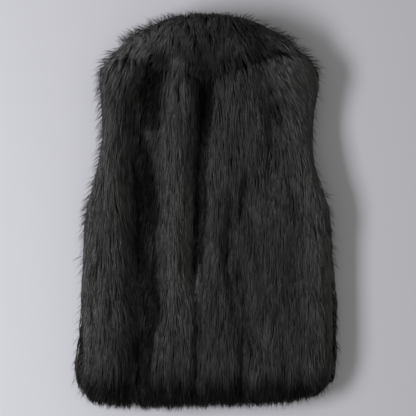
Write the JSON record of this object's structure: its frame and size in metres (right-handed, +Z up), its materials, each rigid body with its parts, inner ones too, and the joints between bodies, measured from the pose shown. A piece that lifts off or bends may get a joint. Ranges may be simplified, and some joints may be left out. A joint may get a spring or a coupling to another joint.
{
  "type": "faux fur vest",
  "caption": "Sleeveless long-pile faux fur vest with a turned-over fur collar, laid flat face down with its back up.",
  "frame": {"origin": "middle of the footprint, on the surface that the vest lies on", "axes": "+Z up from the surface, out of the back; +Y from the hem to the collar; +X to the right of the back as it is seen from above"},
  "size_m": [0.5288, 0.776, 0.082],
  "materials": {
    "black_pile": "long glossy black pile"
  },
  "bodies": {
    "root": {"back": "black_pile", "front_left": "black_pile", "front_right": "black_pile", "collar": "black_pile"}
  },
  "joints": []
}
